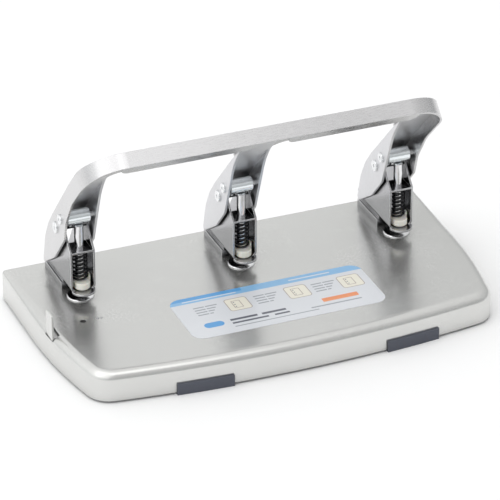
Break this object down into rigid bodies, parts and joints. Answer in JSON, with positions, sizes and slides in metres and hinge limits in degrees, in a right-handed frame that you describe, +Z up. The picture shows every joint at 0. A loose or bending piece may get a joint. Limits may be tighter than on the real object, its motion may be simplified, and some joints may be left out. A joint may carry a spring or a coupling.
{
  "type": "hole punch",
  "caption": "Desktop lever punch with a broad sheet-metal base, a long bridge handle, sprung cutting pins under rollers, a paper edge guide and a drawer for chips.",
  "frame": {"origin": "bottom centre of the bounding box, on the surface that the feet stand on", "axes": "+Z up, -Y towards the user and the front edge of the base, +X to the right along the row of punch heads"},
  "size_m": [0.286, 0.1546, 0.1401],
  "materials": {
    "silver_paint": "satin metallic",
    "satin_chrome": "satin nickel plate",
    "zinc_steel": "zinc plate",
    "blue_zinc": "bright zinc plate",
    "hard_steel": "ground",
    "black_spring_steel": "black oxide",
    "cream_nylon": "moulded",
    "grey_plastic": "moulded",
    "rubber": "matt",
    "printed_film": "gloss"
  },
  "bodies": {
    "base": {"base_shell": "silver_paint", "front_foot_left": "rubber", "front_foot_right": "rubber", "bottom_cover": "zinc_steel", "cover_posts": "zinc_steel", "cover_screws": "zinc_steel", "rear_feet": "rubber", "tray_rails": "zinc_steel", "label": "printed_film", "guide_clip": "zinc_steel", "frame_rivets": "zinc_steel", "frame_left": "satin_chrome", "throat_block_left": "satin_chrome", "die_left": "hard_steel", "spring_seat_left": "cream_nylon", "return_spring_left": "black_spring_steel", "frame_middle": "satin_chrome", "throat_block_middle": "satin_chrome", "die_middle": "hard_steel", "spring_seat_middle": "cream_nylon", "return_spring_middle": "black_spring_steel", "frame_right": "satin_chrome", "throat_block_right": "satin_chrome", "die_right": "hard_steel", "spring_seat_right": "cream_nylon", "return_spring_right": "black_spring_steel"},
    "handle": {"handle_shell": "satin_chrome", "pivot_washers": "zinc_steel", "arm_channel_left": "satin_chrome", "roller_axle_left": "zinc_steel", "pivot_pin_left": "zinc_steel", "arm_channel_middle": "satin_chrome", "roller_axle_middle": "zinc_steel", "pivot_pin_middle": "zinc_steel", "arm_channel_right": "satin_chrome", "roller_axle_right": "zinc_steel", "pivot_pin_right": "zinc_steel"},
    "punch_left": {"punch_pin_left": "hard_steel", "retaining_clip_left": "black_spring_steel"},
    "roller_left": {"roller_left": "blue_zinc"},
    "punch_middle": {"punch_pin_middle": "hard_steel", "retaining_clip_middle": "black_spring_steel"},
    "roller_middle": {"roller_middle": "blue_zinc"},
    "punch_right": {"punch_pin_right": "hard_steel", "retaining_clip_right": "black_spring_steel"},
    "roller_right": {"roller_right": "blue_zinc"},
    "paper_guide": {"paper_guide": "silver_paint"},
    "chip_tray": {"chip_tray": "grey_plastic"}
  },
  "joints": [
    {"name": "handle_hinge", "type": "hinge", "parent": "base", "child": "handle", "pos_m": [0, 0.0384, 0.066], "axis": [1, 0, 0], "range_deg": [0, 46], "stiffness_Nm_per_rad": 0.6, "springref_deg": -45.84},
    {"name": "punch_left_slide", "type": "slide", "parent": "base", "child": "punch_left", "axis": [0, 0, -1], "range_m": [0, 0.0098], "deforming": ["return_spring_left"]},
    {"name": "punch_middle_slide", "type": "slide", "parent": "base", "child": "punch_middle", "axis": [0, 0, -1], "range_m": [0, 0.0098], "deforming": ["return_spring_middle"]},
    {"name": "punch_right_slide", "type": "slide", "parent": "base", "child": "punch_right", "axis": [0, 0, -1], "range_m": [0, 0.0098], "deforming": ["return_spring_right"]},
    {"name": "roller_left_spin", "type": "hinge", "parent": "handle", "child": "roller_left", "pos_m": [-0.10795, 0.0294, 0.07599], "axis": [1, 0, 0], "continuous": true},
    {"name": "roller_middle_spin", "type": "hinge", "parent": "handle", "child": "roller_middle", "pos_m": [0, 0.0294, 0.07599], "axis": [1, 0, 0], "continuous": true},
    {"name": "roller_right_spin", "type": "hinge", "parent": "handle", "child": "roller_right", "pos_m": [0.10795, 0.0294, 0.07599], "axis": [1, 0, 0], "continuous": true},
    {"name": "guide_slide", "type": "slide", "parent": "base", "child": "paper_guide", "axis": [-1, 0, 0], "range_m": [0, 0.0105]},
    {"name": "tray_slide", "type": "slide", "parent": "base", "child": "chip_tray", "axis": [1, 0, 0], "range_m": [0, 0.2]}
  ],
  "couplings": [
    {"joint": "punch_left_slide", "follows": "handle_hinge", "m_per_rad": 0.011865},
    {"joint": "punch_middle_slide", "follows": "handle_hinge", "m_per_rad": 0.011865},
    {"joint": "punch_right_slide", "follows": "handle_hinge", "m_per_rad": 0.011865}
  ]
}
